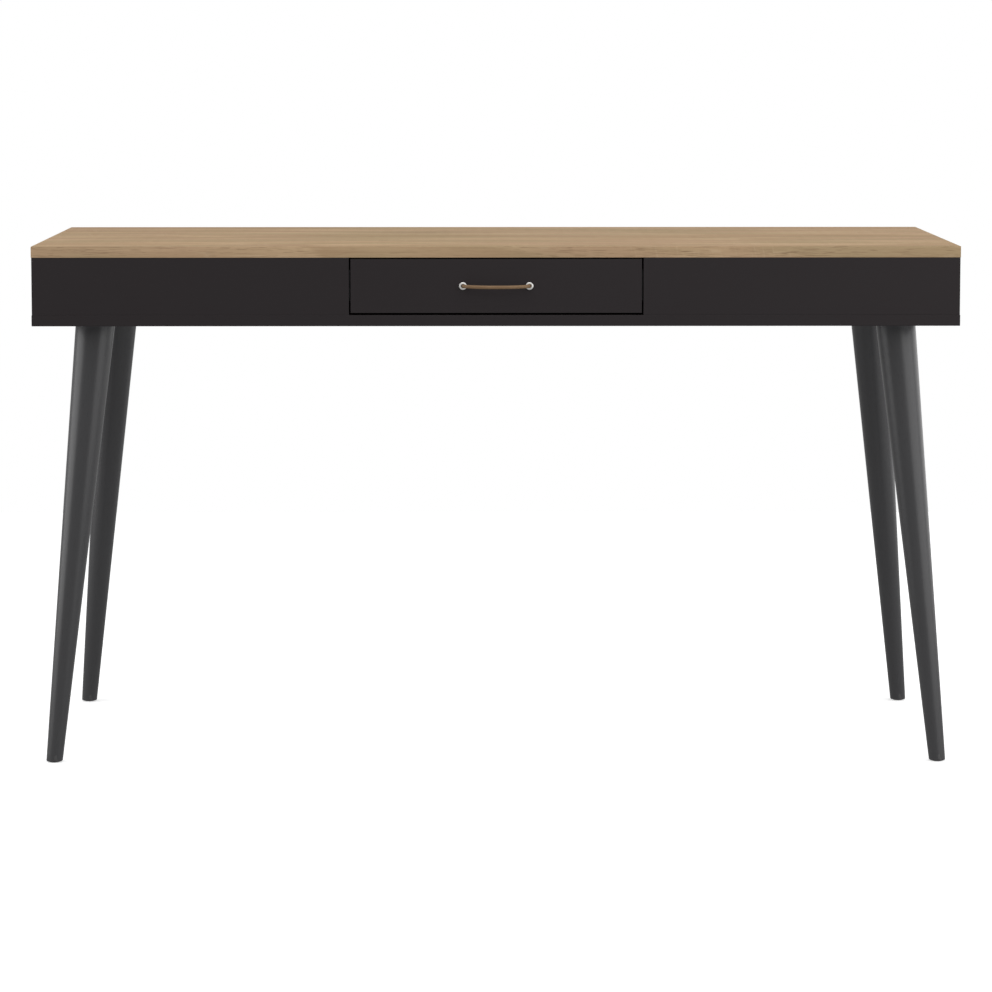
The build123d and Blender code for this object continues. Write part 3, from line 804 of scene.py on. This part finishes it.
leather = lace_leather()
lace_diameter = 0.0050
pull_height = 0.699
right_half = [
    (0.0480, -0.2500, 0.0),
    (0.0480, -0.2780, 0.0),
    (0.0447, -0.2853, 0.0),
    (0.0379, -0.2911, 0.0001),
    (0.0275, -0.2949, 0.0003),
    (0.0137, -0.2968, 0.0005),
]
route = right_half + [(-x, y, sag) for x, y, sag in reversed(right_half)]
line = bpy.data.curves.new("leather_pull", "CURVE")
line.dimensions = "3D"
run = line.splines.new("NURBS")
run.points.add(len(route) - 1)
for point, (x, y, sag) in zip(run.points, route):
    point.co = (x, y, pull_height - sag, 1.0)
run.order_u = 3
run.use_endpoint_u = True
run.resolution_u = 16
line.bevel_depth = lace_diameter / 2
line.bevel_resolution = 8
line.use_fill_caps = True
line.materials.append(leather.material)
pull = bpy.data.objects.new("leather_pull", line)
scene.collection.objects.link(pull)
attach(pull, "drawer")
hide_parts("handle_cord")


def knot_tree():
    """A tight three-crossing knot of round lace, with a short cut tail behind it."""
    inputs = {"Reach": "Float", "Thickness": "Float", "Lace Radius": "Float", "Place": "Vector"}
    inputs.update({"Tail Start": "Vector", "Tail End": "Vector", "Finish": "Material"})
    tree = Shaping("stopper_knot", inputs)
    given = tree.given
    steps = 96
    ring = tree.node("GeometryNodeCurvePrimitiveCircle", {}, {"Resolution": steps, "Radius": 1.0})
    part = tree.node("GeometryNodeInputIndex") * (math.tau / steps)
    across = part.worked("SINE", part) + 2 * part.worked("SINE", part * 2)
    up = part.worked("COSINE", part) - 2 * part.worked("COSINE", part * 2)
    over = part.worked("SINE", part * 3)
    spot = {"X": across * given["Reach"], "Z": up * given["Reach"]}
    looped = tree.node("ShaderNodeCombineXYZ", {}, {**spot, "Y": over * given["Thickness"]})
    knot = tree.node("GeometryNodeSetPosition", {}, {"Geometry": ring, "Position": looped})
    ends = {"Start": given["Tail Start"], "End": given["Tail End"]}
    tail = tree.node("GeometryNodeCurvePrimitiveLine", {}, ends)
    both = tree.node("GeometryNodeJoinGeometry")
    for piece_of_lace in (knot, tail):
        tree.tree.links.new(piece_of_lace.socket, both.socket.node.inputs["Geometry"])
    section = {"Resolution": 20, "Radius": given["Lace Radius"]}
    section = tree.node("GeometryNodeCurvePrimitiveCircle", {}, section)
    sweep = {"Curve": both, "Profile Curve": section, "Fill Caps": True}
    tube = tree.node("GeometryNodeCurveToMesh", {}, sweep)
    tube = tree.node("GeometryNodeSetShadeSmooth", {}, {"Geometry": tube})
    placing = {"Geometry": tube, "Translation": given["Place"]}
    tree.close(tree.node("GeometryNodeTransform", {}, placing))
    return tree


stopper = knot_tree()
behind_washer = 0.0049
for side in ("left", "right"):
    low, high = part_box("handle_knot_" + side)
    middle = (low + high) / 2
    values = {
        "Reach": 0.00175,
        "Thickness": 0.0025,
        "Lace Radius": 0.0023,
        "Place": (middle.x, low.y + behind_washer, middle.z),
        "Tail Start": (0.001, 0.001, 0.0),
        "Tail End": (0.003, 0.0105, -0.0035),
        "Finish": leather.material,
    }
    knot = stopper.make("stopper_knot_" + side, points_mesh([]), values)
    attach(knot, "drawer")
    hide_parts("handle_knot_" + side)


# ---------------------------------------------------------------------------------------------
# The studio: a white floor that glows a little, white air, and five large soft lights: one above,
# one in front, one at the left and two at the right, which draw the bright bands down the legs.
floor_mesh = bpy.data.meshes.new("studio_floor")
floor_reach = 2.6
floor_height = -0.0003
ends = ((-1, -1), (1, -1), (1, 1), (-1, 1))
ends = [(a * floor_reach, b * floor_reach, floor_height) for a, b in ends]
floor_mesh.from_pydata(ends, [], [(0, 1, 2, 3)])
floor = bpy.data.objects.new("studio_floor", floor_mesh)
floor.visible_diffuse = False
floor.visible_glossy = False
scene.collection.objects.link(floor)
floor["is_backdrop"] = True
glowing = {"Emission Color": (1.0, 1.0, 1.0, 1.0), "Emission Strength": 0.48}
paper = Finish("floor_paper", {"Specular IOR Level": 0.1, **glowing})
pulp = cloud(paper, paper.place, (1, 1, 1), 3.0)
paper.drive("Base Color", blended(paper, pulp, (0.90, 0.90, 0.90, 1), (0.92, 0.92, 0.92, 1)))
paper.drive("Roughness", 0.9 + cloud(paper, paper.place, (1, 1, 1), 40.0) * 0.1)
floor_mesh.materials.append(paper.material)

scene.world = bpy.data.worlds.new("studio_air")
scene.world.use_nodes = True
scene.view_settings.view_transform = "Standard"
air = Bench(scene.world.node_tree)
direction = air.node("ShaderNodeTexCoord")["Generated"]
height = air.node("ShaderNodeSeparateXYZ", {}, {"Vector": direction})["Z"]
sky = 0.41 + between(air, height, -0.5, 0.7) * 0.20
seen = air.node("ShaderNodeLightPath")["Is Camera Ray"]
glow = sky * (1 - seen) + seen
air.tree.links.new(glow.socket, air.tree.nodes["Background"].inputs["Strength"])
air.tree.nodes["Background"].inputs["Color"].default_value = (1.0, 1.0, 1.0, 1.0)


def soft_light(name, place, aim, width, height, power):
    lamp = bpy.data.lights.new(name, "AREA")
    lamp.shape = "RECTANGLE"
    lamp.size = width
    lamp.size_y = height
    lamp.energy = power
    light = bpy.data.objects.new(name, lamp)
    light.location = place
    light.rotation_euler = (Vector(aim) - Vector(place)).to_track_quat("-Z", "Y").to_euler()
    light.visible_camera = False
    scene.collection.objects.link(light)


soft_light("overhead_light", (0.0, -0.8, 3.2), (0.0, 0.0, 0.7), 3.5, 2.5, 23.0)
soft_light("front_light", (0.0, -4.5, 3.2), (0.0, -0.3, 0.7), 3.0, 1.4, 15.0)
soft_light("left_light", (-2.3, -0.40, 1.0), (0.0, -0.30, 1.0), 1.8, 1.8, 19.0)
soft_light("right_light", (2.3, -1.5, 1.0), (0.0, -0.2, 1.0), 2.8, 1.8, 26.0)
soft_light("right_rear_light", (2.3, 1.1, 1.0), (0.0, 0.4, 1.0), 2.2, 1.8, 15.0)

low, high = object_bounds()
